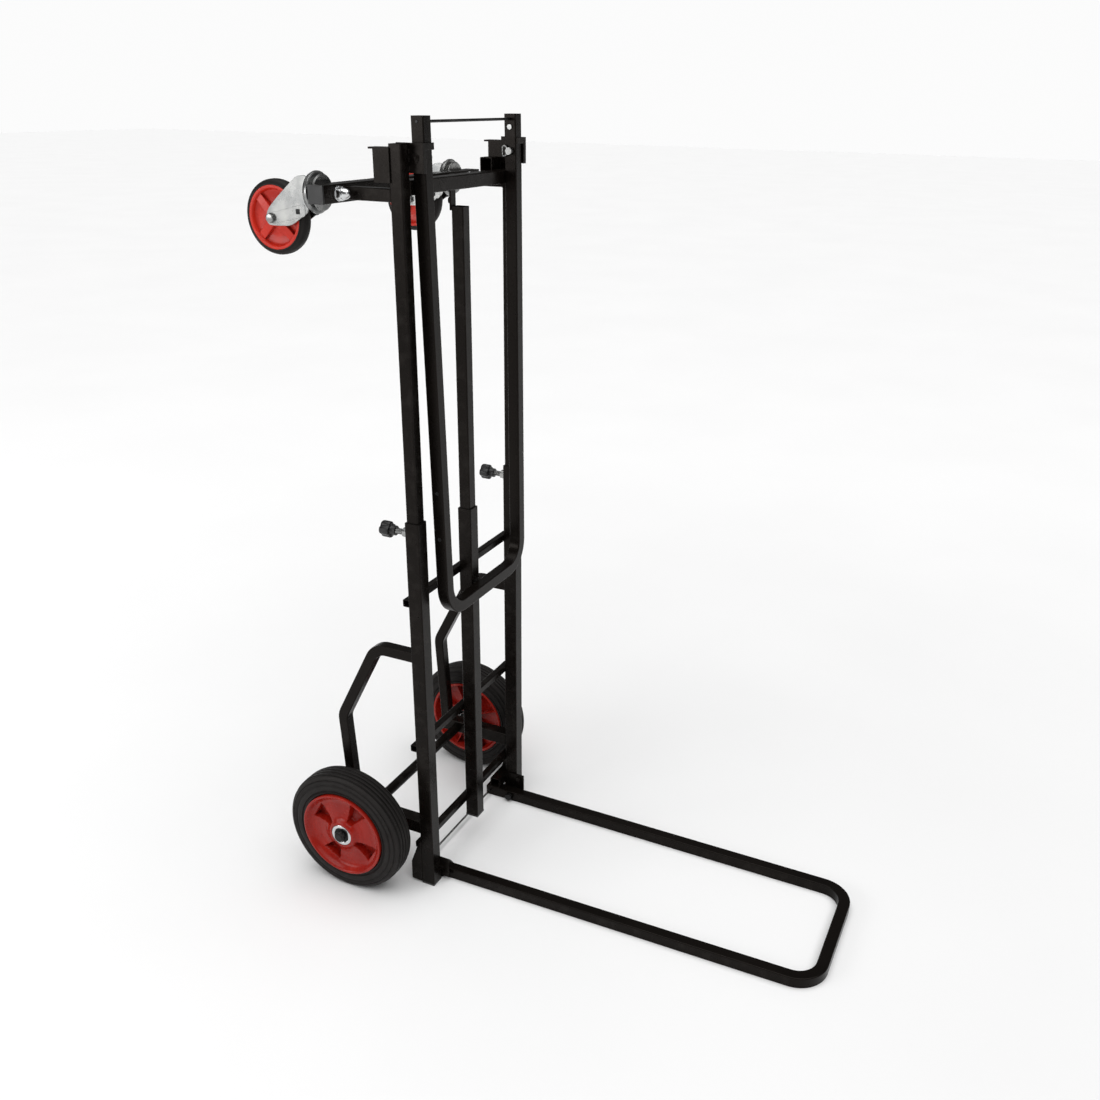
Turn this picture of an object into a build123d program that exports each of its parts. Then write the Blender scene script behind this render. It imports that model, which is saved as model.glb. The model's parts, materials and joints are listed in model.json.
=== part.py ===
from build123d import *
import math
import os

os.makedirs("parts", exist_ok=True)

# Convertible hand truck, standing upright with the toe loop on the floor.
# Millimetres.  +Z is up, -Y is the load side (toe loop), +X is the right-hand side
# of a person who stands behind the truck and faces the load.
# Shapes are laid out about the rail plane (y = 0) and moved at export so that the
# origin is the floor point under the middle of the whole truck.

# ---- driving dimensions -----------------------------------------------------------
# square steel tube
outer_side = 25.4              # outer (lower) rail section
outer_wall = 1.6
inner_side = 20.4              # inner (upper) rail, loop and frame bar section
inner_wall = 1.5
hoop_side = 19.0               # side hoops
tube_corner = 1.8              # outside corner radius of every tube
cross_side = 13.0              # thin cross bars behind the rails

# rails
rail_pitch = 331.0             # left rail centre to right rail centre
rail_foot_z = 4.0              # lower end of the two side rails
rail_top_z = 711.0             # upper end of the two side outer rails
centre_foot_z = 50.0
centre_top_drop = 28.0            # centre outer rail below the side ones
upper_top_z = 1263.0           # upper end of the two side inner rails
centre_upper_drop = 93.0          # centre inner rail below the side ones
side_overlap = 116.0           # length of inner rail inside the outer rail
centre_overlap = 116.0
cap_flange = 4.0               # plastic rail caps
cap_plug = 14.0
slide_clear = 0.05             # running clearance of the telescoping rails
guide_length = 60.0            # plastic guide at the mouth of each outer rail
plug_length = 24.0             # plastic plug at the lower end of each inner rail

# frame bars
upper_cross_z = 568.0
middle_cross_z = 288.0
lower_cross_z = 81.5
cross_inset = 4.0              # bar end short of the rail outer face

# rear wheels and axle
wheel_radius = 118.0
tyre_width = 50.0
tyre_bore = 81.5
tread_groove = 2.4
tread_grooves = 4
shoulder = 9.0
shoulder_run = 0.3             # share of the shoulder at its outer point
shoulder_half = 0.9            # share of the half width at that point
bead_chamfer = 3.0
wheel_offset = 58.5               # side rail centre to wheel middle plane
rim_face_dish = 13.0
rim_flange = 3.0
rim_proud = 5.0                # rim edge beyond the tyre side
rim_windows = 4
window_turn = 30.0             # degrees
window_inner = 29.0
window_border = 17.0           # window to the outside of the drum
window_inner_half = 6.0
window_outer_half = 18.0
window_round = 4.0
window_depth = 8.5             # closed pockets in the web
web_thick = 11.0
web_rise = 4.0
web_step = 7.0
boss_flare = 8.0
drum_thick = 5.0
hub_radius = 24.0
hub_length = 58.0
bearing_radius = 20.5
bearing_length = 7.0
axle_radius = 6.0
axle_y = 131.0
axle_sleeve_radius = 9.5
axle_nut_across = 19.0
axle_nut_length = 9.0
running_clear = 0.08           # bearing bore to axle and similar running fits
side_play = 0.4                # face to face play beside turning parts
press_clear = 0.02             # pressed or bolted fits
seat_clear = 0.1               # tyre bore to rim seat
axle_tunnel = 1.5              # hub tunnel beyond the axle

# side hoops and side bars
side_bar_rise = 5.4               # side bar above the axle
side_bar_back_y = 167.0
hoop_top_z = 468.5
hoop_knee_y = 88.0
hoop_waist_y = 167.0
hoop_waist_z = 317.0
hoop_foot_y = 156.0
hoop_bend = 34.0

# toe loop and handle loop
loop_bend = 46.0               # centre-line radius of the two corners
toe_root_in = 31.0                # side rail centre to loop arm at its root
toe_taper = 7.0                   # arm closer to the middle at its end
toe_reach = 709.0              # pivot plane side of rails to end bar centre
toe_pivot_y = -11.0
tail_length = 54.0             # arm end beyond its pivot
rod_radius = 2.0
rod_from_end = 7.5
handle_root_in = 29.0
handle_taper = 8.5
handle_length = 757.0          # arm end to end bar centre
handle_pivot_y = -20.3
handle_pivot_drop = 19.0          # pivot below the inner rail tops
handle_lean = 0.75             # degrees that the folded handle stands off the rails
button_rise = 35.0             # button above the handle pivot
pin_radius = 4.0
pin_clear = 0.1
arm_gap = 1.0                  # bush or ear face to the loop arm
rod_proud = 1.0                # tie rod end beyond the arm
button_radius = 4.0
button_length = 2.0

# upper cross bars and caster carrier
top_cross_drop = 57.6             # top bar below the inner rail tops
carrier_drop = 67.0
carrier_front_y = 90.0
carrier_over = 53.5               # carrier end beyond the rail centre
carrier_side = 25.4
arm_side = 18.0                # tubes from the rails to the carrier
cap_thick = 3.0
cap_depth = 10.0
strap_width = 14.0
strap_thick = 3.0
strap_foot_drop = 6.0             # below the centre inner rail top
strap_button_rise = 14.0
strap_button_radius = 5.0
strap_button_length = 4.0

# hinge brackets
plate = 2.5
ear_reach = 31.0               # ear in front of the rail plane
ear_low = 19.0                    # ear below the handle pivot
ear_high = 20.0                   # and above it
lip_rise = 14.0
lip_over = 9.0                 # top plate beyond the stop block
block_reach = 34.0             # stop block behind the rail plane
block_in = 40.5                   # rail centre to the inner end of the stop block
bush_radius = 7.0
pin_head_length = 7.0
pin_head_radius = 5.5
ring_back = 11.0
ring_front = 3.0
ring_half = 10.0
ring_bend = 2.5
ring_wire = 1.2
ring_offset = 4.5              # ring plane inboard of the arm
tab_rise = 10.8                # front tab above the handle pivot
toe_ear_thick = 3.0
toe_ear_reach = 30.0
toe_ear_low_z = 8.0
toe_ear_top_z = 48.0
toe_gusset_top_z = 100.0
ear_bolt_back = 11.0           # ear bolt behind the ear front edge
ear_bolt_z = 38.0
ear_bolt_across = 10.0
ear_bolt_length = 4.0
pivot_head_across = 13.0
pivot_head_length = 7.0
washer_radius = 8.0
seat_gap = 0.3                 # arm tail to its stop block when the loop is out

# clamp knobs
knob_drop = 21.0                  # clamp below the side rail tops
stud_radius = 4.9
boss_radius = 8.5
boss_length = 10.0
knob_start_y = 36.0
knob_end_y = 63.0
knob_span = 27.0
knob_neck = 9.0                # neck between stud and head
knob_hub_radius = 8.0
knob_round = 3.0
flutes = 4
flute_radius = 6.0
flute_out = 3.0                # flute centre outside the head
stud_tip = 0.05                # stud tip to the inner rail

# casters
caster_offset = 20.0              # side rail centre to caster
caster_radius = 52.7
caster_width = 23.0
caster_trail = 37.0
caster_height = 83.0           # carrier back face to wheel axle
caster_bore = 45.0
head_radius = 29.0
head_depth = 19.0
race_depth = 7.0
race_step = 4.0                # race smaller than the cup
cup_round = 4.0
leg_top = 24.0
leg_foot = 26.0
leg_round_rise = 20.0
leg_round_out = 22.0
leg_tip = 11.0
leg_back = 8.0
leg_edge = 6.0
leg_half = 10.0
fork_plate = 3.0
fork_clear = 3.0
fork_root = 1.0                # leg root let into the cup
caster_axle_radius = 4.0
caster_head_across = 12.0
caster_head_length = 5.0
caster_nut_length = 6.0
caster_hub_radius = 12.0
caster_web_half = 4.0
caster_drum = 6.0
caster_lip = 5.0
tyre_round = (5.0, 1.5, 6.0, 2.0)
kingpin_radius = 5.0
dome_radius = 8.5
dome_base = 12.5
dome_step = 0.5                # dome smaller than the hexagon

# ---- sizes that follow ------------------------------------------------------------
rail_x = rail_pitch / 2
centre_top_z = rail_top_z - centre_top_drop
centre_upper_top_z = upper_top_z - centre_upper_drop
wheel_mid_x = rail_x + wheel_offset
toe_root_half = rail_x - toe_root_in
toe_end_half = toe_root_half - toe_taper
handle_root_half = rail_x - handle_root_in
handle_end_half = handle_root_half - handle_taper
handle_pivot_z = upper_top_z - handle_pivot_drop
ear_low_z = handle_pivot_z - ear_low
ear_high_z = handle_pivot_z + ear_high
lip_z = handle_pivot_z + lip_rise
top_cross_z = upper_top_z - top_cross_drop
carrier_z = upper_top_z - carrier_drop
carrier_half = rail_x + carrier_over
strap_foot_z = centre_upper_top_z - strap_foot_drop
block_inner_x = rail_x - block_in
caster_x = rail_x + caster_offset
side_bar_z = wheel_radius + side_bar_rise
knob_z = rail_top_z - knob_drop
outer_half = outer_side / 2
inner_half = inner_side / 2
cross_y = outer_half + cross_side / 2
bore_side = outer_side - 2 * outer_wall
axle_z = wheel_radius
toe_z = inner_half
carrier_back_y = carrier_front_y + carrier_side
caster_y = carrier_back_y + caster_height
caster_z = carrier_z - caster_trail
front_y = -(toe_reach + inner_half)
rear_y = caster_y + caster_radius
mid_y = (front_y + rear_y) / 2
seat_side = block_reach - inner_half - plate
seat_low_z = handle_pivot_z - inner_half - seat_gap - seat_side
sides = {"left": -1, "right": 1}


# ---- helpers ----------------------------------------------------------------------
def save(shape, name):
    """Move from the rail plane to the floor origin and write one file."""
    export_step(Pos(0, -mid_y, 0) * shape, "parts/" + name + ".step")


def block(x0, x1, y0, y1, z0, z1):
    """Box between two corners, given in any order along X."""
    size = (abs(x1 - x0), y1 - y0, z1 - z0)
    return Pos((x0 + x1) / 2, (y0 + y1) / 2, (z0 + z1) / 2) * Box(*size)


def section(side):
    return RectangleRounded(side, side, tube_corner)


def straight_tube(start, direction, length, side, wall):
    """Square tube with rounded corners, open at both ends."""
    base = Plane(origin=start, z_dir=direction)
    bore = RectangleRounded(side - 2 * wall, side - 2 * wall, tube_corner / 2)
    return extrude(base * section(side), length) - extrude(base * bore, length)


def bent_tube(path, side, wall, normal):
    """Square tube that follows a flat path; normal is square to the path's plane."""
    base = Plane(origin=path @ 0, x_dir=normal, z_dir=path % 0)
    bore = RectangleRounded(side - 2 * wall, side - 2 * wall, tube_corner / 2)
    return sweep(base * section(side), path=path) - sweep(base * bore, path=path)


def square_bar(start, direction, length, side):
    """Solid bar that fits the rounded bore of a square tube."""
    base = Plane(origin=start, z_dir=direction)
    return extrude(base * RectangleRounded(side, side, tube_corner / 2), length)


def rod(start, direction, length, radius):
    """Round bar from a start point."""
    base = Plane(origin=start, z_dir=direction)
    return extrude(base * Circle(radius), length)


def turned_x(points, x, y, z):
    """Solid turned about the X direction from (radius, x offset) points."""
    profile = make_face(Polyline([(r, a) for r, a in points], close=True))
    body = revolve(profile, axis=Axis.Y)
    return Pos(x, y, z) * (Rot(0, 0, -90) * body)


def hexagon(start, direction, length, across):
    base = Plane(origin=start, z_dir=direction)
    return extrude(base * RegularPolygon(across / 2, 6, major_radius=False), length)


# ---- rails ------------------------------------------------------------------------
def outer_rail(x, z0, z1, clamped):
    rail = straight_tube((x, 0, z0), (0, 0, 1), z1 - z0, outer_side, outer_wall)
    if clamped:
        hole = rod((x, 0, knob_z), (0, 1, 0), outer_side, stud_radius + pin_clear)
        rail = rail - hole
    return rail


def guide(x, z1, clamped):
    """Plastic guide inside the mouth of an outer rail."""
    foot = (x, 0, z1 - guide_length)
    body = square_bar(foot, (0, 0, 1), guide_length, bore_side)
    body = body - square_bar(foot, (0, 0, 1), guide_length, inner_side + 2 * slide_clear)
    if clamped:
        body = body - rod((x, 0, knob_z), (0, 1, 0), outer_side, stud_radius + pin_clear)
    return body


def slide_plug(x, z0):
    """Plastic plug that steadies the lower end of an inner rail in the outer rail."""
    foot = square_bar((x, 0, z0 - plug_length / 2), (0, 0, 1), plug_length / 2,
                      bore_side - 2 * slide_clear)
    return foot + square_bar((x, 0, z0), (0, 0, 1), plug_length / 2,
                             inner_side - 2 * inner_wall)


def rail_cap(x, z0):
    """Plastic cap with a flange under the rail and a plug inside it."""
    flange = block(x - outer_half, x + outer_half, -outer_half, outer_half,
                   z0 - cap_flange, z0)
    return flange + square_bar((x, 0, z0), (0, 0, 1), cap_plug, bore_side)


side_low_z = rail_top_z - side_overlap
centre_low_z = centre_top_z - centre_overlap
for name, sign in sides.items():
    x = sign * rail_x
    save(outer_rail(x, rail_foot_z, rail_top_z, True), "outer_rail_" + name)
    save(straight_tube((x, 0, side_low_z), (0, 0, 1), upper_top_z - side_low_z,
                       inner_side, inner_wall), "inner_rail_" + name)
save(outer_rail(0, centre_foot_z, centre_top_z, False), "outer_rail_centre")
save(straight_tube((0, 0, centre_low_z), (0, 0, 1), centre_upper_top_z - centre_low_z,
                   inner_side, inner_wall), "inner_rail_centre")
save(Compound([guide(-rail_x, rail_top_z, True), guide(0, centre_top_z, False),
               guide(rail_x, rail_top_z, True)]), "rail_guides")
save(Compound([slide_plug(-rail_x, side_low_z), slide_plug(0, centre_low_z),
               slide_plug(rail_x, side_low_z)]), "slide_plugs")
save(Compound([rail_cap(-rail_x, rail_foot_z), rail_cap(0, centre_foot_z),
               rail_cap(rail_x, rail_foot_z)]), "rail_caps")

# ---- frame bars behind the outer rails --------------------------------------------
cross_half = rail_x + outer_half - cross_inset
for name, z in {"upper": upper_cross_z, "middle": middle_cross_z,
                "lower": lower_cross_z}.items():
    bar = straight_tube((-cross_half, cross_y, z), (1, 0, 0), 2 * cross_half,
                        cross_side, outer_wall)
    save(bar, "cross_bar_" + name)

# ---- side hoops, side bars and axle -----------------------------------------------
hole_radius = axle_radius + press_clear
for name, sign in sides.items():
    x = sign * rail_x
    hoop_path = FilletPolyline(
        (x, outer_half, hoop_top_z),
        (x, hoop_knee_y, hoop_top_z),
        (x, hoop_waist_y, hoop_waist_z),
        (x, hoop_foot_y, side_bar_z),
        radius=hoop_bend)
    hoop = bent_tube(hoop_path, hoop_side, inner_wall, (1, 0, 0))
    hoop = hoop - block(x - hoop_side, x + hoop_side, outer_half, side_bar_back_y + hoop_side,
                        side_bar_z - hoop_side, side_bar_z + outer_half)
    save(hoop, "side_hoop_" + name)
    bar = straight_tube((x, outer_half, side_bar_z), (0, 1, 0),
                        side_bar_back_y - outer_half, outer_side, outer_wall)
    bar = bar - rod((x - outer_side, axle_y, axle_z), (1, 0, 0), 2 * outer_side,
                    hole_radius)
    save(bar, "side_bar_" + name)

sleeve_half = rail_x - outer_half
wheel_inner_x = wheel_mid_x - hub_length / 2
wheel_outer_x = wheel_mid_x + hub_length / 2
axle_end_x = wheel_outer_x + side_play + axle_nut_length
axle = rod((-axle_end_x, axle_y, axle_z), (1, 0, 0), 2 * axle_end_x, axle_radius)
save(axle, "axle")
sleeve = rod((-sleeve_half, axle_y, axle_z), (1, 0, 0), 2 * sleeve_half,
             axle_sleeve_radius)
sleeve = sleeve - rod((-sleeve_half, axle_y, axle_z), (1, 0, 0), 2 * sleeve_half,
                      hole_radius)
save(sleeve, "axle_sleeve")
spacers = []
nuts = []
for sign in sides.values():
    start = sign * (rail_x + outer_half)
    length = wheel_inner_x - side_play - (rail_x + outer_half)
    spacer = rod((start, axle_y, axle_z), (sign, 0, 0), length, axle_sleeve_radius)
    spacer = spacer - rod((start, axle_y, axle_z), (sign, 0, 0), length, hole_radius)
    spacers.append(spacer)
    nut_x = sign * (wheel_outer_x + side_play)
    nut = hexagon((nut_x, axle_y, axle_z), (sign, 0, 0), axle_nut_length,
                    axle_nut_across)
    nuts.append(nut - rod((nut_x, axle_y, axle_z), (sign, 0, 0), axle_nut_length,
                          hole_radius))
save(Compound(spacers), "axle_spacers")
save(Compound(nuts), "axle_nuts")


# ---- rear wheels ------------------------------------------------------------------
def tyre(x):
    """Solid rubber tyre with rounded shoulders and tread grooves."""
    half = tyre_width / 2
    run = wheel_radius - shoulder * shoulder_run
    points = [(tyre_bore, -half + bead_chamfer), (tyre_bore + bead_chamfer, -half),
              (wheel_radius - shoulder, -half), (run, -half * shoulder_half),
              (wheel_radius, -half + shoulder)]
    pitch = 2 * (half - shoulder) / (tread_grooves + 1)
    for i in range(tread_grooves):
        a = -half + shoulder + (i + 1) * pitch
        points += [(wheel_radius, a - tread_groove / 2),
                   (wheel_radius - tread_groove, a),
                   (wheel_radius, a + tread_groove / 2)]
    points += [(wheel_radius, half - shoulder),
               (run, half * shoulder_half),
               (wheel_radius - shoulder, half), (tyre_bore + bead_chamfer, half),
               (tyre_bore, half - bead_chamfer)]
    return turned_x(points, x, axle_y, axle_z)


def rim(x, sign):
    """Moulded rim: drum under the tyre, dished web with windows, hub with bearing seats."""
    seat = tyre_bore - seat_clear
    half = tyre_width / 2
    web = half + rim_proud - rim_face_dish
    back = web - web_thick
    points = [(hub_radius, -hub_length / 2), (hub_radius, back), (seat - drum_thick, back),
              (seat - drum_thick, -half), (seat, -half), (seat, half + rim_proud),
              (seat - rim_flange, half + rim_proud),
              (seat - web_step, web + web_rise), (seat - 2 * web_step, web),
              (hub_radius + boss_flare, web),
              (hub_radius, hub_length / 2), (bearing_radius, hub_length / 2),
              (bearing_radius, hub_length / 2 - bearing_length),
              (axle_radius + axle_tunnel, hub_length / 2 - bearing_length),
              (axle_radius + axle_tunnel, -hub_length / 2 + bearing_length),
              (bearing_radius, -hub_length / 2 + bearing_length),
              (bearing_radius, -hub_length / 2)]
    body = turned_x([(r, sign * a) for r, a in points], x, axle_y, axle_z)
    outer_r = seat - window_border
    wedge = make_face(Polyline(
        (window_inner, -window_inner_half), (outer_r, -window_outer_half),
        (outer_r, window_outer_half), (window_inner, window_inner_half), close=True))
    wedge = fillet(wedge.vertices(), window_round)
    for i in range(rim_windows):
        angle = window_turn + i * 360 / rim_windows
        cut = Rot(angle, 0, 0) * (Rot(0, 90, 0) * extrude(wedge, sign * tyre_width))
        cut = Pos(x + sign * (web - window_depth), axle_y, axle_z) * cut
        body = body - cut
    return body


def bearing_pair(x):
    rings = []
    for end in (-1, 1):
        start = x + end * (hub_length / 2 - bearing_length)
        ring = rod((start, axle_y, axle_z), (end, 0, 0), bearing_length,
                   bearing_radius - seat_clear)
        rings.append(ring - rod((start, axle_y, axle_z), (end, 0, 0), bearing_length,
                                axle_radius + running_clear))
    return Compound(rings)


for name, sign in sides.items():
    x = sign * wheel_mid_x
    save(tyre(x), "wheel_tyre_" + name)
    save(rim(x, sign), "wheel_rim_" + name)
    save(bearing_pair(x), "wheel_bearings_" + name)

# ---- toe loop ---------------------------------------------------------------------
tail_y = toe_pivot_y + tail_length
toe_path = FilletPolyline(
    (-toe_root_half, tail_y, toe_z),
    (-toe_root_half, 0, toe_z),
    (-toe_end_half, -toe_reach, toe_z),
    (toe_end_half, -toe_reach, toe_z),
    (toe_root_half, 0, toe_z),
    (toe_root_half, tail_y, toe_z),
    radius=loop_bend)
toe_loop = bent_tube(toe_path, inner_side, inner_wall, (0, 0, 1))
toe_rod_y = tail_y - rod_from_end
reach_x = toe_root_half + inner_side
toe_loop = toe_loop - rod((-reach_x, toe_pivot_y, toe_z), (1, 0, 0), 2 * reach_x,
                          pin_radius + pin_clear)
toe_loop = toe_loop - rod((-reach_x, toe_rod_y, toe_z), (1, 0, 0), 2 * reach_x,
                          rod_radius + press_clear)
save(toe_loop, "toe_loop")
rod_half = toe_root_half + inner_half + rod_proud
save(rod((-rod_half, toe_rod_y, toe_z), (1, 0, 0), 2 * rod_half, rod_radius),
     "toe_tie_rod")

# ---- handle loop, folded down in front of the rails -------------------------------
handle_top_z = handle_pivot_z + tail_length
handle_bottom_z = handle_top_z - handle_length
handle_axis = Axis((0, handle_pivot_y, handle_pivot_z), (1, 0, 0))
taper_z = handle_pivot_z - inner_side
handle_path = FilletPolyline(
    (-handle_root_half, handle_pivot_y, handle_top_z),
    (-handle_root_half, handle_pivot_y, taper_z),
    (-handle_end_half, handle_pivot_y, handle_bottom_z),
    (handle_end_half, handle_pivot_y, handle_bottom_z),
    (handle_root_half, handle_pivot_y, taper_z),
    (handle_root_half, handle_pivot_y, handle_top_z),
    radius=loop_bend)
handle = bent_tube(handle_path, inner_side, inner_wall, (0, 1, 0))
reach_x = handle_root_half + inner_side
handle_rod_z = handle_top_z - rod_from_end
handle = handle - rod((-reach_x, handle_pivot_y, handle_pivot_z), (1, 0, 0),
                      2 * reach_x, pin_radius + pin_clear)
handle = handle - rod((-reach_x, handle_pivot_y, handle_rod_z), (1, 0, 0),
                      2 * reach_x, rod_radius + press_clear)
save(handle.rotate(handle_axis, -handle_lean), "handle_loop")
rod_half = handle_root_half + inner_half + rod_proud
tie = rod((-rod_half, handle_pivot_y, handle_rod_z), (1, 0, 0), 2 * rod_half,
          rod_radius)
save(tie.rotate(handle_axis, -handle_lean), "handle_tie_rod")
buttons = []
for sign in sides.values():
    face_x = sign * (handle_root_half - inner_half)
    button = rod((face_x, handle_pivot_y, handle_pivot_z + button_rise), (-sign, 0, 0),
                 button_length, button_radius)
    buttons.append(button.rotate(handle_axis, -handle_lean))
save(Compound(buttons), "handle_buttons")


# ---- upper hinge brackets ---------------------------------------------------------
def upper_bracket(sign):
    """Folded plates: ear inside the rail, box behind it, stop block under the arm tail."""
    out_x = sign * (rail_x + inner_half + plate)
    face_x = sign * (rail_x + inner_half)
    ear_x = sign * (rail_x - inner_half)
    ear_in = sign * (rail_x - inner_half - plate)
    web_x = sign * (handle_root_half + inner_half + arm_gap)
    tab_x = sign * (handle_root_half - inner_half)
    end_x = sign * block_inner_x
    web_y = -ear_reach - plate
    back_y = inner_half + plate
    body = block(ear_x, ear_in, web_y, inner_half, ear_low_z, ear_high_z)
    body += block(ear_x, ear_in, inner_half, block_reach, seat_low_z, lip_z)
    body += block(face_x, out_x, inner_half - plate, block_reach, seat_low_z, lip_z)
    body += block(ear_x, web_x, web_y, -ear_reach, ear_low_z, ear_high_z)
    body += block(ear_x, tab_x, web_y, -ear_reach, handle_pivot_z + tab_rise, ear_high_z)
    body += block(face_x, ear_x, inner_half, back_y, seat_low_z, lip_z)
    body += block(face_x, ear_x, inner_half, block_reach + lip_over, lip_z - plate, lip_z)
    body += straight_tube((face_x, back_y + seat_side / 2, seat_low_z + seat_side / 2),
                          (-sign, 0, 0), abs(face_x - end_x), seat_side, inner_wall)
    bush_length = abs(ear_in) - (handle_root_half + inner_half + arm_gap)
    body += rod((ear_in, handle_pivot_y, handle_pivot_z), (-sign, 0, 0), bush_length,
                bush_radius)
    return body - rod((out_x, handle_pivot_y, handle_pivot_z), (-sign, 0, 0),
                      2 * outer_side, pin_radius + pin_clear)


def pull_pin(sign):
    """Quick-release hinge pin with a flat head and a triangular wire ring."""
    out_x = sign * (rail_x - inner_half)
    head_x = sign * (handle_root_half - inner_half - seat_gap)
    pin = rod((out_x, handle_pivot_y, handle_pivot_z), (-sign, 0, 0),
              abs(out_x - head_x), pin_radius)
    pin += rod((head_x, handle_pivot_y, handle_pivot_z), (-sign, 0, 0), pin_head_length,
               pin_head_radius)
    ring_x = head_x - sign * ring_offset
    y = handle_pivot_y
    z = handle_pivot_z
    path = FilletPolyline((ring_x, y + ring_back, z + ring_half), (ring_x, y - ring_front, z),
                          (ring_x, y + ring_back, z - ring_half), close=True,
                          radius=ring_bend)
    wire = sweep(Plane(origin=path @ 0, z_dir=path % 0) * Circle(ring_wire), path=path)
    return pin + wire


for name, sign in sides.items():
    save(upper_bracket(sign), "upper_bracket_" + name)
    save(pull_pin(sign), "pull_pin_" + name)


# ---- lower hinge brackets ---------------------------------------------------------
def lower_bracket(sign):
    """Ear inside the rail, side plate outside it, stop block over the arm tail."""
    rail_in = rail_x - outer_half
    rail_out = rail_x + outer_half
    ear = block(sign * rail_in, sign * (rail_in - toe_ear_thick), -toe_ear_reach,
                outer_half, toe_ear_low_z, toe_ear_top_z)
    seat_z = toe_z + inner_half + seat_gap
    side = block_reach - outer_half
    tube = straight_tube((sign * rail_out, outer_half + side / 2, seat_z + side / 2),
                         (-sign, 0, 0), rail_out - block_inner_x, side, inner_wall)
    outside = block(sign * rail_out, sign * (rail_out - plate), outer_half, block_reach,
                    rail_foot_z, seat_z + side)
    gusset = Plane.YZ * make_face(Polyline(
        (outer_half, seat_z + side), (block_reach, seat_z + side),
        (outer_half, toe_gusset_top_z), close=True))
    gusset = Pos(sign * (rail_out - plate / 2), 0, 0) * extrude(gusset, plate / 2,
                                                                both=True)
    body = ear + tube + outside + gusset
    bolt_y = -toe_ear_reach + ear_bolt_back
    body += hexagon((sign * (rail_in - toe_ear_thick), bolt_y, ear_bolt_z), (-sign, 0, 0),
                    ear_bolt_length, ear_bolt_across)
    body = body - rod((sign * rail_in, toe_pivot_y, toe_z), (-sign, 0, 0),
                      toe_ear_thick, pin_radius + press_clear)
    return body


toe_bolts = []
toe_washers = []
for name, sign in sides.items():
    save(lower_bracket(sign), "lower_bracket_" + name)
    start = sign * (rail_x - outer_half)
    arm_out = toe_root_half + inner_half
    arm_in = toe_root_half - inner_half - side_play
    stud = rod((start, toe_pivot_y, toe_z), (-sign, 0, 0), abs(start) - arm_in,
               pin_radius)
    stud += hexagon((sign * arm_in, toe_pivot_y, toe_z), (-sign, 0, 0), pivot_head_length,
                    pivot_head_across)
    toe_bolts.append(stud)
    ear_x = abs(start) - toe_ear_thick
    washer = rod((sign * ear_x, toe_pivot_y, toe_z), (-sign, 0, 0),
                 ear_x - arm_out - side_play, washer_radius)
    toe_washers.append(washer - rod((sign * ear_x, toe_pivot_y, toe_z), (-sign, 0, 0),
                                    ear_x, pin_radius + press_clear))
save(Compound(toe_bolts), "toe_pivot_bolts")
save(Compound(toe_washers), "toe_pivot_washers")

# ---- upper frame bars -------------------------------------------------------------
top_half = rail_x - inner_half
save(straight_tube((-top_half, 0, top_cross_z), (1, 0, 0), 2 * top_half, inner_side,
                   inner_wall), "top_cross_bar")
carrier_y = carrier_front_y + carrier_side / 2
carrier = straight_tube((-carrier_half, carrier_y, carrier_z), (1, 0, 0),
                        2 * carrier_half, carrier_side, outer_wall)
caps = []
for name, sign in sides.items():
    arm = straight_tube((sign * rail_x, inner_half, carrier_z), (0, 1, 0),
                        carrier_front_y - inner_half, arm_side, inner_wall)
    save(arm, "carrier_arm_" + name)
    carrier = carrier - rod((sign * caster_x, carrier_front_y, carrier_z), (0, 1, 0),
                            carrier_side, kingpin_radius + press_clear)
    cap = block(sign * carrier_half, sign * (carrier_half + cap_thick),
                carrier_front_y, carrier_back_y, carrier_z - carrier_side / 2,
                carrier_z + carrier_side / 2)
    cap += square_bar((sign * carrier_half, carrier_y, carrier_z), (-sign, 0, 0), cap_depth,
                      carrier_side - 2 * outer_wall)
    caps.append(cap)
save(carrier, "caster_carrier")
save(Compound(caps), "carrier_caps")
strap = block(-inner_half, strap_width - inner_half, inner_half,
              inner_half + strap_thick, strap_foot_z, top_cross_z + inner_half)
strap += rod((strap_width / 2 - inner_half, inner_half + strap_thick,
              strap_foot_z + strap_button_rise), (0, 1, 0), strap_button_length,
             strap_button_radius)
save(strap, "centre_strap")


# ---- clamp knobs ------------------------------------------------------------------
def clamp_knob(x):
    """Fluted head moulded on a stud that bears on the inner rail."""
    stud = rod((x, inner_half + stud_tip, knob_z), (0, 1, 0), knob_start_y - inner_half,
               stud_radius)
    head_y = knob_start_y + knob_neck
    neck = rod((x, knob_start_y, knob_z), (0, 1, 0), knob_neck, knob_hub_radius)
    head = rod((x, head_y, knob_z), (0, 1, 0), knob_end_y - head_y, knob_span / 2)
    head = fillet(head.edges().filter_by(GeomType.CIRCLE), knob_round)
    for i in range(flutes):
        angle = math.pi / 4 + i * math.tau / flutes
        out = knob_span / 2 + flute_out
        head = head - rod((x + out * math.cos(angle), head_y, knob_z + out * math.sin(angle)),
                          (0, 1, 0), knob_end_y - head_y, flute_radius)
    return stud + neck + head


bosses = []
for name, sign in sides.items():
    x = sign * rail_x
    boss = rod((x, outer_half, knob_z), (0, 1, 0), boss_length, boss_radius)
    bosses.append(boss - rod((x, outer_half, knob_z), (0, 1, 0), boss_length,
                             stud_radius + pin_clear))
    save(clamp_knob(x), "clamp_knob_" + name)
save(Compound(bosses), "clamp_bosses")


# ---- casters ----------------------------------------------------------------------
def caster_head(x):
    """Fixed swivel race on the carrier with its kingpin."""
    race = rod((x, carrier_back_y, carrier_z), (0, 1, 0), race_depth,
               head_radius - race_step)
    pin_length = dome_base + carrier_side + head_depth - side_play
    pin = rod((x, carrier_front_y - dome_base, carrier_z), (0, 1, 0), pin_length,
              kingpin_radius)
    return race + pin


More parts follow.
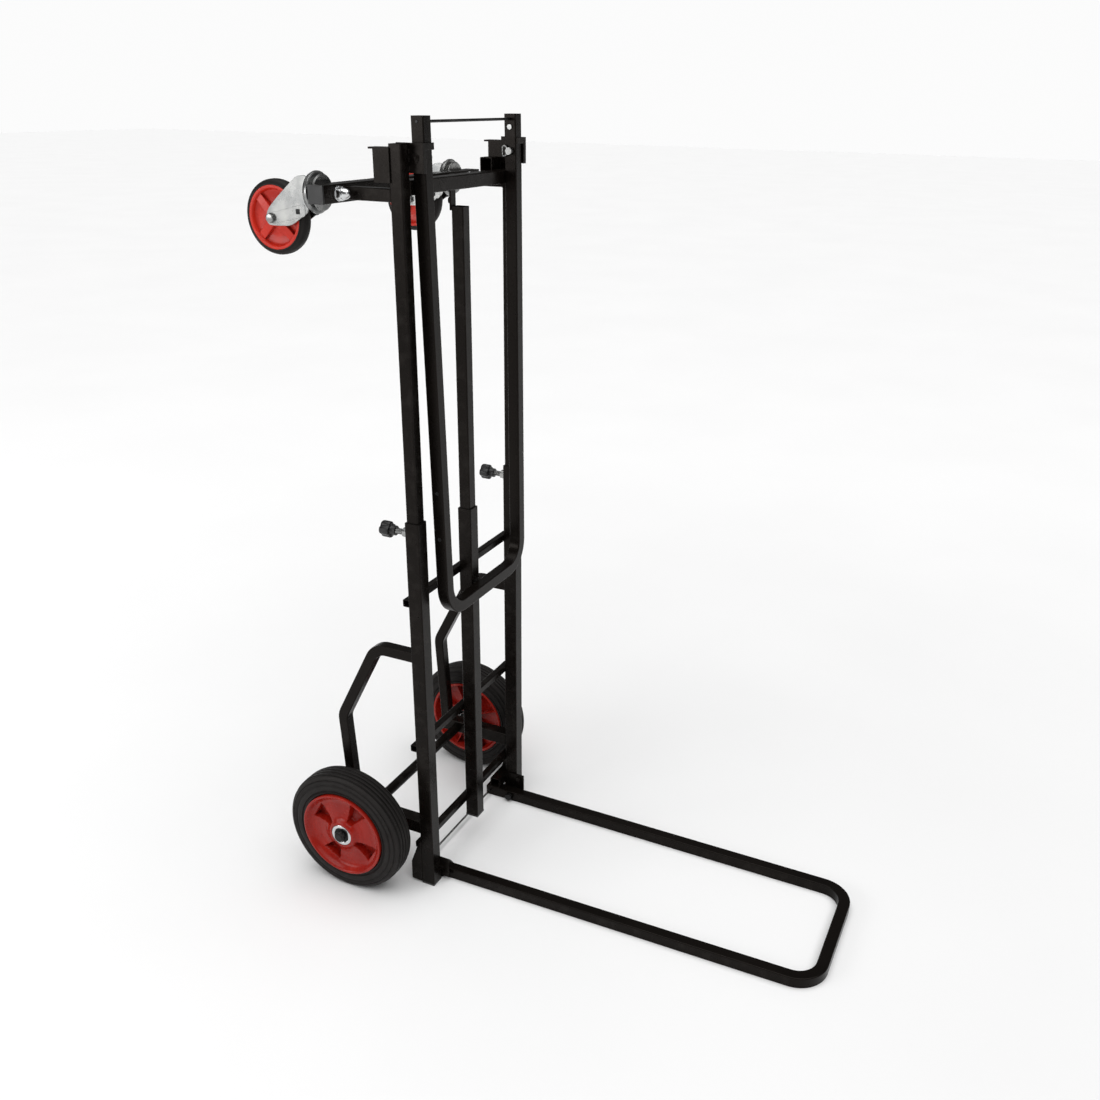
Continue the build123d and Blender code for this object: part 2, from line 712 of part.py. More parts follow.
def caster_fork(x):
    """Swivel cup with two legs that carry the wheel axle."""
    y0 = carrier_back_y + race_depth + side_play
    cup = rod((x, y0, carrier_z), (0, 1, 0), head_depth - race_depth, head_radius)
    cup = fillet(cup.edges().sort_by(Axis.Y)[-1], cup_round)
    cup = cup - rod((x, y0, carrier_z), (0, 1, 0), head_depth, kingpin_radius + running_clear)
    gap = caster_width / 2 + fork_clear
    top_y = y0 + head_depth - race_depth
    root_y = top_y - fork_root
    for side in (-1, 1):
        outline = make_face(Polyline(
            (root_y, carrier_z + leg_top), (root_y, carrier_z - leg_foot),
            (caster_y - leg_back, caster_z - leg_half),
            (caster_y + leg_edge, caster_z - leg_half),
            (caster_y + leg_tip, caster_z), (caster_y + leg_edge, caster_z + leg_half),
            (top_y + leg_round_out, carrier_z + leg_round_rise), close=True))
        leg = extrude(Plane.YZ * outline, fork_plate)
        start = x + side * gap if side > 0 else x - gap - fork_plate
        cup += Pos(start, 0, 0) * leg
    cup = cup - rod((x - caster_width, caster_y, caster_z), (1, 0, 0),
                    2 * caster_width, caster_axle_radius + press_clear)
    return cup


def caster_axle(x):
    half = caster_width / 2 + fork_clear + fork_plate
    bolt = rod((x - half, caster_y, caster_z), (1, 0, 0), 2 * half, caster_axle_radius)
    bolt += hexagon((x - half, caster_y, caster_z), (-1, 0, 0),
                    caster_head_length, caster_head_across)
    return bolt + hexagon((x + half, caster_y, caster_z), (1, 0, 0), caster_nut_length,
                          caster_head_across)


def caster_tyre(x):
    half = caster_width / 2
    inner, middle, crown, edge = tyre_round
    points = [(caster_bore, -half), (caster_radius - inner, -half),
              (caster_radius - middle, -half + edge), (caster_radius, -half + crown),
              (caster_radius, half - crown), (caster_radius - middle, half - edge),
              (caster_radius - inner, half), (caster_bore, half)]
    return turned_x(points, x, caster_y, caster_z)


def caster_rim(x):
    seat = caster_bore - seat_clear
    half = caster_width / 2
    bore = caster_axle_radius + running_clear
    hub = half + fork_clear - side_play
    web = caster_web_half
    lip = seat - caster_lip
    drum = seat - caster_drum
    points = [(bore, -hub), (caster_hub_radius, -hub), (caster_hub_radius, -web),
              (drum, -web), (lip, -half), (seat, -half), (seat, half), (lip, half),
              (drum, web), (caster_hub_radius, web), (caster_hub_radius, hub),
              (bore, hub)]
    return turned_x(points, x, caster_y, caster_z)


dome_nuts = []
for name, sign in sides.items():
    x = sign * caster_x
    save(caster_head(x), "caster_head_" + name)
    save(caster_fork(x), "caster_fork_" + name)
    save(caster_axle(x), "caster_axle_" + name)
    save(caster_tyre(x), "caster_tyre_" + name)
    save(caster_rim(x), "caster_rim_" + name)
    nut = hexagon((x, carrier_front_y, carrier_z), (0, -1, 0), dome_base,
                  2 * dome_radius)
    nut += Pos(x, carrier_front_y - dome_base, carrier_z) * Sphere(dome_radius - dome_step)
    nut = nut - rod((x, carrier_front_y, carrier_z), (0, -1, 0), dome_base,
                    kingpin_radius + press_clear)
    dome_nuts.append(nut)
save(Compound(dome_nuts), "dome_nuts")
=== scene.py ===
"""Convertible hand truck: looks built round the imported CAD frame.  Metres, row frame."""
import json
import math

import bmesh
import bpy
from mathutils import Matrix, Vector


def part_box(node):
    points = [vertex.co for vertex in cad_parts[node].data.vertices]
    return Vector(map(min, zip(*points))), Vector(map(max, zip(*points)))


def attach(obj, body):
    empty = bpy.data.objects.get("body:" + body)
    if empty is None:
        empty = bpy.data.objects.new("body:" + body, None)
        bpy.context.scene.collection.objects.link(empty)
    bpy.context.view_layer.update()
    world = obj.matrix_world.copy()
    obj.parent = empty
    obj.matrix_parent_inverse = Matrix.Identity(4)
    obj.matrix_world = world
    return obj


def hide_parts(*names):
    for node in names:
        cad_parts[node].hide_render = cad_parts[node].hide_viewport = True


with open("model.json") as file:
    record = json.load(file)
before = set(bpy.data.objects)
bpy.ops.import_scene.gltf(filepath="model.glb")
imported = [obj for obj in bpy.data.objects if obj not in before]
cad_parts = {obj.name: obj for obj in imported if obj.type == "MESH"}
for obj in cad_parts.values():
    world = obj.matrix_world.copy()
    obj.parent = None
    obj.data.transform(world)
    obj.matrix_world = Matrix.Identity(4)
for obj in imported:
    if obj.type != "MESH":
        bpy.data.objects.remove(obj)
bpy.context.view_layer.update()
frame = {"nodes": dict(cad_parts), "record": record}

MM = 0.001
SIDES = {"left": -1, "right": 1}
X, Y, Z = Vector((1, 0, 0)), Vector((0, 1, 0)), Vector((0, 0, 1))


# ---- places taken from the frame ---------------------------------------------------
def low(node):
    """Low corner of a node's box at rest."""
    return Vector(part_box(node)[0])


def high(node):
    """High corner of a node's box at rest."""
    return Vector(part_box(node)[1])


def mid(node):
    """Middle of a node's box at rest."""
    return (low(node) + high(node)) / 2


def span(node):
    """Size of a node's box along the three axes."""
    return high(node) - low(node)


# ---- node materials ----------------------------------------------------------------
class Nodes:
    """Short way to add and link shader nodes."""

    def __init__(self, name):
        self.material = bpy.data.materials.new(name)
        self.material.use_nodes = True
        self.tree = self.material.node_tree
        self.shader = self.tree.nodes["Principled BSDF"]
        self.place = self.add("ShaderNodeTexCoord").outputs["Object"]

    def add(self, kind, **values):
        """New shader node with some of its settings."""
        node = self.tree.nodes.new(kind)
        for key, value in values.items():
            setattr(node, key, value)
        return node

    def link(self, output, target):
        """Joins two sockets."""
        self.tree.links.new(output, target)

    def noise(self, scale, detail=4.0, stretch=None):
        """Noise in the object's own space, stretched where asked."""
        node = self.add("ShaderNodeTexNoise")
        node.inputs["Scale"].default_value = scale
        node.inputs["Detail"].default_value = detail
        if stretch is None:
            self.link(self.place, node.inputs["Vector"])
        else:
            mapping = self.add("ShaderNodeMapping")
            mapping.inputs["Scale"].default_value = stretch
            self.link(self.place, mapping.inputs["Vector"])
            self.link(mapping.outputs["Vector"], node.inputs["Vector"])
        return node.outputs["Fac"]

    def span(self, value, start, end, from_low=0.3, from_high=0.7):
        """Maps a value's useful range onto start to end."""
        node = self.add("ShaderNodeMapRange")
        node.inputs["From Min"].default_value = from_low
        node.inputs["From Max"].default_value = from_high
        node.inputs["To Min"].default_value = start
        node.inputs["To Max"].default_value = end
        self.link(value, node.inputs["Value"])
        return node.outputs["Result"]

    def blend(self, factor, first, second):
        """Mix of two colours, each a tuple or a socket."""
        node = self.add("ShaderNodeMix", data_type="RGBA")
        self.link(factor, node.inputs["Factor"])
        for socket, value in ((node.inputs["A"], first), (node.inputs["B"], second)):
            if isinstance(value, tuple):
                socket.default_value = (*value, 1)
            else:
                self.link(value, socket)
        return node.outputs["Result"]

    def edges(self, start=0.52, end=0.6):
        """1 on worn outside edges, 0 elsewhere."""
        point = self.add("ShaderNodeNewGeometry").outputs["Pointiness"]
        return self.span(point, 0.0, 1.0, start, end)

    def bump(self, height, strength, distance, rounding=0.0):
        """Relief from a height, over edges shaded as if rounded."""
        node = self.add("ShaderNodeBump")
        node.inputs["Strength"].default_value = strength
        node.inputs["Distance"].default_value = distance
        self.link(height, node.inputs["Height"])
        if rounding:
            bevel = self.add("ShaderNodeBevel", samples=4)
            bevel.inputs["Radius"].default_value = rounding
            self.link(bevel.outputs["Normal"], node.inputs["Normal"])
        self.link(node.outputs["Normal"], self.shader.inputs["Normal"])

    def finish(self, colour, rough, metal=0.0, specular=0.5, tint=(1.0, 1.0, 1.0, 1.0)):
        """Links colour and roughness, sets the rest, and hands over the material."""
        inputs = self.shader.inputs
        self.link(colour, inputs["Base Color"])
        self.link(rough, inputs["Roughness"])
        inputs["Metallic"].default_value = metal
        inputs["Specular IOR Level"].default_value = specular
        inputs["Specular Tint"].default_value = tint
        return self.material


def frame_paint():
    """Satin black powder coat: fine orange peel, faint patches, thin worn edges."""
    n = Nodes("frame_paint")
    patches = n.span(n.noise(9.0, 5.0), 0.0, 1.0)
    colour = n.blend(patches, (0.0028, 0.0021, 0.0017), (0.0048, 0.0037, 0.003))
    rub = n.add("ShaderNodeMath", operation="MULTIPLY")
    n.link(n.edges(), rub.inputs[0])
    n.link(n.span(n.noise(60.0), 0.0, 0.5, 0.5, 0.7), rub.inputs[1])
    colour = n.blend(rub.outputs[0], colour, (0.017, 0.015, 0.0135))
    n.bump(n.noise(1300.0, 2.0), 0.12, 0.0004, rounding=0.0007)
    return n.finish(colour, n.span(n.noise(23.0, 6.0), 0.24, 0.29), specular=0.11,
                    tint=(1.0, 0.9, 0.83, 1.0))


def black_plastic():
    """Moulded black plastic with a fine spark-eroded grain."""
    n = Nodes("black_plastic")
    colour = n.blend(n.span(n.noise(35.0), 0.0, 1.0), (0.005, 0.005, 0.005),
                     (0.009, 0.0088, 0.0086))
    n.bump(n.noise(2400.0, 3.0), 0.3, 0.0003, rounding=0.0008)
    return n.finish(colour, n.span(n.noise(80.0), 0.3, 0.42), specular=0.45)


def zinc_plate(name, low_tone, high_tone, rough_low, rough_high, stretch):
    """Bright zinc on pressed or drawn steel, with draw lines and faint blooming."""
    n = Nodes(name)
    colour = n.blend(n.span(n.noise(40.0, 6.0), 0.0, 1.0), low_tone, high_tone)
    lines = n.noise(700.0, 4.0, stretch)
    n.bump(lines, 0.12, 0.0003, rounding=0.0005)
    return n.finish(colour, n.span(n.noise(55.0, 5.0), rough_low, rough_high), metal=1.0)


def red_plastic(name, low_tone, high_tone, edge_tone, recess_shade_tone):
    """Glossy moulded red rim: slight flow marks, paler edges, and painted shade that darkens
    the recesses.
    """
    n = Nodes(name)
    flow = n.span(n.noise(16.0, 4.0, (1.0, 2.2, 1.0)), 0.0, 1.0)
    colour = n.blend(flow, low_tone, high_tone)
    colour = n.blend(n.edges(0.53, 0.7), colour, edge_tone)
    # painted shade: ambient occlusion blends the colour into the dark shade tone in recesses
    # and pocket floors
    recess_shade_ao = n.add("ShaderNodeAmbientOcclusion", samples=8)
    recess_shade_ao.inputs["Distance"].default_value = 0.016
    colour = n.blend(n.span(recess_shade_ao.outputs["AO"], 0.0, 1.0, 0.15, 0.62), recess_shade_tone, colour)
    n.bump(n.noise(900.0, 2.0), 0.08, 0.0003, rounding=0.0009)
    return n.finish(colour, n.span(n.noise(48.0), 0.2, 0.32), specular=0.24)


def tyre_rubber():
    """Solid grey-black rubber, dusty in patches, with a fine moulded grain."""
    n = Nodes("tyre_rubber")
    dust = n.span(n.noise(26.0, 8.0), 0.0, 1.0, 0.4, 0.75)
    colour = n.blend(dust, (0.006, 0.0054, 0.0052), (0.012, 0.0108, 0.0104))
    colour = n.blend(n.edges(0.51, 0.6), colour, (0.032, 0.03, 0.029))
    n.bump(n.noise(1500.0, 4.0), 0.35, 0.0003)
    return n.finish(colour, n.span(n.noise(90.0, 5.0), 0.42, 0.6), specular=0.14,
                    tint=(1.0, 0.92, 0.88, 1.0))


def hole_shade_and_seal():
    """Painted shade for the inside of drilled holes and windows, and the own dark colour of
    the bearing seals.
    """
    n = Nodes("hole_shade_and_seal")
    colour = n.blend(n.span(n.noise(300.0), 0.0, 1.0), (0.004, 0.004, 0.004),
                     (0.012, 0.012, 0.012))
    n.bump(n.noise(900.0), 0.1, 0.0002)
    return n.finish(colour, n.span(n.noise(200.0), 0.5, 0.7), specular=0.3)


def floor_paint():
    """Pale studio floor that grows into the white backdrop with distance."""
    n = Nodes("floor_paint")
    colour = n.blend(n.span(n.noise(1.5), 0.0, 1.0), (0.86, 0.86, 0.86),
                     (0.88, 0.88, 0.88))
    n.bump(n.noise(60.0), 0.05, 0.0005)
    away = n.add("ShaderNodeVectorMath", operation="LENGTH")
    n.link(n.add("ShaderNodeNewGeometry").outputs["Position"], away.inputs[0])
    n.link(n.span(away.outputs["Value"], 0.0, 0.09, 0.8, 2.6),
           n.shader.inputs["Emission Strength"])
    return n.finish(colour, n.span(n.noise(4.0), 0.75, 0.85), specular=0.15)


LOOKS = {
    "frame_paint": frame_paint(),
    "black_plastic": black_plastic(),
    "zinc_plate": zinc_plate("zinc_plate", (0.2, 0.205, 0.205), (0.36, 0.36, 0.35), 0.2,
                             0.36, (1.0, 0.1, 1.0)),
    "blackened_steel": zinc_plate("blackened_steel", (0.02, 0.02, 0.021),
                                  (0.045, 0.044, 0.043), 0.3, 0.45, (1.0, 1.0, 1.0)),
    "bright_chrome": zinc_plate("bright_chrome", (0.55, 0.56, 0.57), (0.66, 0.66, 0.66),
                                0.1, 0.2, (1.0, 1.0, 1.0)),
    # the red's last tone is painted shade for its recesses
    "red_plastic": red_plastic("red_plastic", (0.25, 0.0075, 0.0035), (0.33, 0.013, 0.006),
                               (0.42, 0.03, 0.018), (0.03, 0.0015, 0.001)),
    "tyre_rubber": tyre_rubber(),
}
# painted shade for holes and windows, and the seals' own dark colour
HOLE_SHADE_AND_SEAL = hole_shade_and_seal()
# painted light: a brighter copy of the red plastic for the casters, which sit nearer the
# lamps; its last tone is painted shade for the recesses
LIT_CASTER_RED = red_plastic("caster_red_lit_copy", (0.5, 0.02, 0.01), (0.62, 0.032, 0.016),
                         (0.7, 0.06, 0.04), (0.12, 0.004, 0.002))

# zinc-plated nodes drawn in the blackened steel look
DARK_FITTINGS = ("axle", "handle_tie_rod", "toe_pivot_bolts", "toe_pivot_washers")

for part in frame["record"]["subparts"]:
    cad_node = frame["nodes"][part["node"]]
    cad_node.data.materials.clear()
    cad_node.data.materials.append(LOOKS[part["material_slot"]])
for name in DARK_FITTINGS:
    frame["nodes"][name].data.materials[0] = LOOKS["blackened_steel"]


# ---- mesh helpers ------------------------------------------------------------------
def place(name, mesh, slot, body, bevel=0.0, smooth=0.6, look=None):
    """Object for a finished mesh, riding on a body and taking a slot's finish."""
    for face in mesh.faces:
        face.smooth = True
    bmesh.ops.recalc_face_normals(mesh, faces=mesh.faces)
    data = bpy.data.meshes.new(name)
    mesh.to_mesh(data)
    mesh.free()
    data.set_sharp_from_angle(angle=smooth)
    obj = bpy.data.objects.new(name, data)
    bpy.context.scene.collection.objects.link(obj)
    data.materials.append(look or LOOKS[slot])
    if bevel:
        mod = obj.modifiers.new("edge", "BEVEL")
        mod.width = bevel
        mod.segments = 3
        mod.limit_method = "ANGLE"
        mod.angle_limit = 0.6
    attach(obj, body)
    return obj


def turning(axis):
    """Matrix whose columns are two directions across an axis, and the axis."""
    axis = Vector(axis).normalized()
    across = Z if abs(axis.z) < 0.9 else X
    first = across.cross(axis).normalized()
    second = axis.cross(first)
    return Matrix((first, second, axis)).transposed()


def lathe(mesh, profile, centre, axis, count=72, closed=True, radius_at=None, lift=None):
    """Turns (radius, height) points about an axis.

    radius_at can shape the rings, and lift raises the points of their height with
    their angle where a profile entry has a third value that is true.
    """
    basis = turning(axis)
    rings = []
    for radius, height, *raised in profile:
        ring = []
        for k in range(count):
            angle = math.tau * k / count
            r = radius_at(radius, angle) if radius_at else radius
            h = height + (lift(radius, angle) if raised else 0.0)
            point = basis @ Vector((r * math.cos(angle), r * math.sin(angle), h))
            ring.append(mesh.verts.new(Vector(centre) + point))
        rings.append(ring)
    last = len(rings) if closed else len(rings) - 1
    for i in range(last):
        here, there = rings[i], rings[(i + 1) % len(rings)]
        for k in range(count):
            mesh.faces.new((here[k], here[(k + 1) % count], there[(k + 1) % count],
                            there[k]))
    if not closed:
        mesh.faces.new(rings[0])
        mesh.faces.new(list(reversed(rings[-1])))


def hex_edge(across):
    """Ring shape of a hexagon with the given distance across flats."""
    sector = math.tau / 6

    def shape(radius, angle):
        offset = (angle + sector / 2) % sector - sector / 2
        return min(radius, across / 2 / math.cos(offset))
    return shape


def hex_head(mesh, start, axis, across, height, bore=0.0):
    """Hexagon with rounded-off corners at its outer face."""
    corner = across / 2 / math.cos(math.pi / 6)
    top = across * 0.46
    inner = max(bore, across * 0.03)
    profile = [(inner, 0), (corner, 0), (corner, height * 0.82),
               (across * 0.525, height * 0.93), (top, height), (inner, height)]
    lathe(mesh, profile, start, axis, radius_at=hex_edge(across))


THREAD_PITCH = 1.5 * MM
THREAD_DEPTH = 0.45 * THREAD_PITCH


def thread(mesh, start, axis, radius, length):
    """Threaded shank drawn as close V-shaped rings."""
    turns = round(length / THREAD_PITCH)
    profile = []
    for i in range(turns):
        profile.append((radius, length * i / turns))
        profile.append((radius - THREAD_DEPTH, length * (i + 0.5) / turns))
    profile.append((radius, length))
    lathe(mesh, profile, start, axis, 28, False)


def plate(mesh, outline, start, thick, across):
    """Flat plate from an outline of (y, z) points; across is the way its thickness goes."""
    back = [mesh.verts.new(Vector(start) + Vector((0, y, z))) for y, z in outline]
    front = [mesh.verts.new(v.co + across * thick) for v in back]
    count = len(outline)
    for k in range(count):
        mesh.faces.new((back[k], back[(k + 1) % count], front[(k + 1) % count], front[k]))
    mesh.faces.new(list(reversed(back)))
    mesh.faces.new(front)


ROUND_STEPS = 6


def rounded(points, radius):
    """Outline with each corner rounded by a quadratic curve."""
    out = []
    count = len(points)
    for i in range(count):
        before, here, after = (Vector(points[(i + k) % count]) for k in (-1, 0, 1))
        first = here + (before - here).normalized() * min(radius, (before - here).length / 2)
        second = here + (after - here).normalized() * min(radius, (after - here).length / 2)
        for k in range(ROUND_STEPS + 1):
            t = k / ROUND_STEPS
            out.append(tuple(first * (1 - t) ** 2 + here * 2 * t * (1 - t)
                             + second * t ** 2))
    return out


def wheel_ribs(mesh, centre, outline, count, half, sign):
    """Flat ribs round a wheel's axis from (radius, height) points."""
    edges = len(outline)
    for k in range(count):
        spin = Matrix.Rotation(math.tau * (k + 0.5) / count, 3, "X")
        walls = []
        for shift in (-half, half):
            walls.append([mesh.verts.new(centre + spin @ Vector((sign * h, shift, r)))
                          for r, h in outline])
        for j in range(edges):
            mesh.faces.new((walls[0][j], walls[0][(j + 1) % edges],
                            walls[1][(j + 1) % edges], walls[1][j]))
        mesh.faces.new(walls[0])
        mesh.faces.new(list(reversed(walls[1])))


# ---- weld beads --------------------------------------------------------------------
WELD_RADIUS = 1.45 * MM
WELD_RIPPLE = 2.6 * MM
RIPPLE_STEPS = 4
BEAD_SIDES = 10
CORNER_GAP = 2 * MM               # bead end to tube corner
HOOP_FOOT_IN = 19 * MM            # hoop's rearmost point to the middle of its foot
EAR_BEAD = 6 * MM                 # short beads on the upper brackets' ears
EAR_DROPS = (8 * MM, 19 * MM, 30 * MM)


def bead(mesh, start, end):
    """Rippled weld bead between two points, half sunk into the tube wall."""
    start, end = Vector(start), Vector(end)
    axis = end - start
    ripples = max(3, round(axis.length / WELD_RIPPLE))
    steps = ripples * RIPPLE_STEPS
    profile = []
    for i in range(steps + 1):
        t = i / steps
        ends = min(1.0, math.sqrt(min(t, 1 - t) * ripples) + 0.25)
        ripple = 0.86 + 0.14 * abs(math.sin(math.pi * t * ripples))
        profile.append((WELD_RADIUS * ends * ripple, axis.length * t))
    lathe(mesh, profile, start, axis, BEAD_SIDES, False)


def frame_of_beads(mesh, centre, first, second):
    """Four beads round a square tube end; first and second are half-width vectors."""
    ends = [centre + first + second, centre - first + second,
            centre - first - second, centre + first - second]
    for k in range(4):
        bead(mesh, ends[k], ends[(k + 1) % 4])


def lower_welds():
    """Beads at the cross bars, hoops, side bars and lower brackets."""
    mesh = bmesh.new()
    back = high("outer_rail_left").y
    for level in ("lower", "middle", "upper"):
        bar = "cross_bar_" + level
        for rail in ("left", "centre", "right"):
            node = "outer_rail_" + rail
            x0, x1 = low(node).x + CORNER_GAP, high(node).x - CORNER_GAP
            for z in (low(bar).z, high(bar).z):
                bead(mesh, (x0, back, z), (x1, back, z))
    for side, sign in SIDES.items():
        x = mid("outer_rail_" + side).x
        hoop = "side_hoop_" + side
        half = span(hoop).x / 2
        top = Vector((x, back, high(hoop).z - half))
        frame_of_beads(mesh, top, X * half, Z * half)
        bar = "side_bar_" + side
        for z in (low(bar).z, high(bar).z):
            bead(mesh, (x - half, back, z), (x + half, back, z))
        foot = Vector((x, high(hoop).y - HOOP_FOOT_IN, high(bar).z))
        frame_of_beads(mesh, foot, X * half, Y * half)
        bracket = "lower_bracket_" + side
        outer_x = x + sign * span("outer_rail_" + side).x / 2
        bead(mesh, (outer_x, back, low(bracket).z + 6 * MM),
             (outer_x, back, high(bracket).z - 8 * MM))
    place("welds_lower", mesh, "frame_paint", "frame")


def upper_welds():
    """Beads at the top bar, carrier arms, upper brackets and centre strap."""
    mesh = bmesh.new()
    rail_half = span("inner_rail_left").x / 2
    for side, sign in SIDES.items():
        rail = mid("inner_rail_" + side)
        bar = mid("top_cross_bar")
        face = Vector((rail.x - sign * rail_half, bar.y, bar.z))
        frame_of_beads(mesh, face, Y * rail_half, Z * rail_half)
        arm = "carrier_arm_" + side
        arm_half = span(arm).x / 2
        for y in (low(arm).y, high(arm).y):
            end = Vector((mid(arm).x, y, mid(arm).z))
            frame_of_beads(mesh, end, X * arm_half, Z * arm_half)
        ear_x = rail.x - sign * rail_half
        front = low("inner_rail_" + side).y
        bracket = "upper_bracket_" + side
        for drop in EAR_DROPS:
            z = high(bracket).z - drop
            bead(mesh, (ear_x, front, z), (ear_x, front, z - EAR_BEAD))
    strap = "centre_strap"
    for z in (high(strap).z - 3 * MM, mid("top_cross_bar").z - rail_half):
        bead(mesh, (low(strap).x, low(strap).y, z), (high(strap).x, low(strap).y, z))
    place("welds_upper", mesh, "frame_paint", "upper_frame")


# ---- rear wheels -------------------------------------------------------------------
TREAD_RIBS = 4
TREAD_DEPTH = 2.6 * MM
TREAD_SHARE = 0.62                # tread width as a share of the tyre's
SEAT_GAP = 0.1 * MM               # tyre bore to rim


def rear_tyre(side, sign):
    """Solid tyre: ribbed tread, two raised rings and a bead line on each side wall."""
    node = "wheel_tyre_" + side
    centre = mid(node)
    radius = span(node).z / 2
    half = span(node).x / 2
    bore = span("wheel_rim_" + side).z / 2 + SEAT_GAP
    wall = [(bore, 0.88), (bore + 1.5 * MM, 0.97), (bore + 4 * MM, 0.985),
            (bore + 5 * MM, 0.93), (bore + 6.5 * MM, 0.93), (bore + 8 * MM, 0.99),
            (bore + 15 * MM, 1.0), (bore + 17 * MM, 0.975), (bore + 18.5 * MM, 0.93),
            (bore + 20 * MM, 0.955), (bore + 25 * MM, 0.94), (bore + 26.5 * MM, 0.88),
            (bore + 28 * MM, 0.9), (radius - 4.2 * MM, 0.83), (radius - 2.4 * MM, 0.74)]
    profile = [(r, -half * share) for r, share in wall]
    edge = half * TREAD_SHARE
    pitch = 2 * edge / TREAD_RIBS
    for i in range(TREAD_RIBS):
        start = -edge + i * pitch
        crown = radius - 0.5 * MM * abs(i - (TREAD_RIBS - 1) / 2)
        profile += [(radius - TREAD_DEPTH, start + 0.4 * MM),
                    (crown - 0.3 * MM, start + 1.3 * MM), (crown, start + 2.2 * MM),
                    (crown, start + pitch - 2.2 * MM),
                    (crown - 0.3 * MM, start + pitch - 1.3 * MM),
                    (radius - TREAD_DEPTH, start + pitch - 0.4 * MM)]
    profile += [(r, half * share) for r, share in reversed(wall)]
    mesh = bmesh.new()
    lathe(mesh, profile, centre, X * sign, 160)
    tyre = place("tyre_" + side, mesh, "tyre_rubber", "wheel_" + side)
    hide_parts(node)


BEARING_DEPTH = 6.6 * MM


def rear_hub(side, sign):
    """Bright bearing ring and dark seal at both ends of the hub."""
    node = "wheel_bearings_" + side
    centre = mid(node)
    ring = span(node).z / 2
    half = span(node).x / 2
    outer = ring - 0.1 * MM
    inner = ring * 0.70
    bore = span("axle").z / 2
    for end, label in ((1, "outer"), (-1, "inner")):
        out = X * sign * end
        face = centre + out * (half - BEARING_DEPTH)
        mesh = bmesh.new()
        lathe(mesh, [(inner, 0), (outer, 0), (outer, BEARING_DEPTH - 0.5 * MM),
                     (outer - 0.6 * MM, BEARING_DEPTH),
                     (inner + 0.9 * MM, BEARING_DEPTH),
                     (inner, BEARING_DEPTH - 0.9 * MM)], face, out)
        place("bearing_ring_" + label + "_" + side, mesh, "zinc_plate", "wheel_" + side,
              look=LOOKS["bright_chrome"])
        mesh = bmesh.new()
        seal = BEARING_DEPTH - 2.4 * MM
        lathe(mesh, [(bore + 0.3 * MM, 0), (inner - 0.1 * MM, 0), (inner - 0.1 * MM, seal),
                     (inner * 0.75, seal + 0.7 * MM), (bore + 2 * MM, seal + 0.2 * MM),
                     (bore + 0.3 * MM, seal + 0.2 * MM)], face, out)
        seal_obj = place("bearing_seal_" + label + "_" + side, mesh, "zinc_plate",
                         "wheel_" + side, look=HOLE_SHADE_AND_SEAL)
        if end > 0:
            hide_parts(node)


POCKETS = 4
POCKET_DEPTH = 14 * MM
POCKET_INNER = 28 * MM
POCKET_OUTER = 65 * MM
POCKET_HALF = 6 * MM              # half width where the pocket starts to flare
POCKET_FLARE_START = 29 * MM
POCKET_FLARE = 0.35               # half width gained along the radius
POCKET_RAMP = 2.4 * MM
SEAT_RADIUS = 20.7 * MM           # bearing seat
SEAT_DEPTH = 7 * MM
TUNNEL_RADIUS = 7.5 * MM
WEB_BACK = -2 * MM                # web's back face from the wheel's middle plane
DRUM_WALL = 5 * MM
FACE_RINGS = 74
FACE_INNER, FACE_OUTER = 22.0, 80.8
RIM_RIBS = 8
RIB_HALF = 1.3 * MM
# face height over radius from the wheel's middle plane, in millimetres
DISH = [(20.7, 29.0), (24.0, 29.0), (25.5, 28.2), (28.0, 25.5), (33.0, 22.0), (42.0, 19.0),
        (60.0, 17.3), (66.0, 18.0), (71.0, 21.0), (75.0, 26.0), (77.0, 29.0), (78.4, 30.0),
        (80.6, 30.0), (81.4, 29.2)]


def dish_height(radius):
    """Height of the rear rim's face along straight runs, in millimetres."""
    for (r0, h0), (r1, h1) in zip(DISH, DISH[1:]):
        if radius <= r1:
            return h0 + (h1 - h0) * (radius - r0) / (r1 - r0)
    return DISH[-1][1]


def smooth_dish(radius):
    """The same height with its corners softened over 3 mm."""
    spread = [radius + step * 0.5 for step in range(-3, 4)]
    return sum(dish_height(max(DISH[0][0], r)) for r in spread) / len(spread)


def pocket_shape(turn):
    """How far each point of the rim's face sinks into a pocket; turn sets the first."""
    sector = math.tau / POCKETS

    def sink(radius, angle):
        offset = (angle - turn + sector / 2) % sector - sector / 2
        along, across = radius * math.cos(offset), radius * math.sin(offset)
        wide = POCKET_HALF + POCKET_FLARE * (along - POCKET_FLARE_START)
        inside = min(along - POCKET_INNER, POCKET_OUTER - along, wide - abs(across))
        t = min(1.0, max(0.0, inside / POCKET_RAMP))
        return -POCKET_DEPTH * t * t * (3 - 2 * t)
    return sink


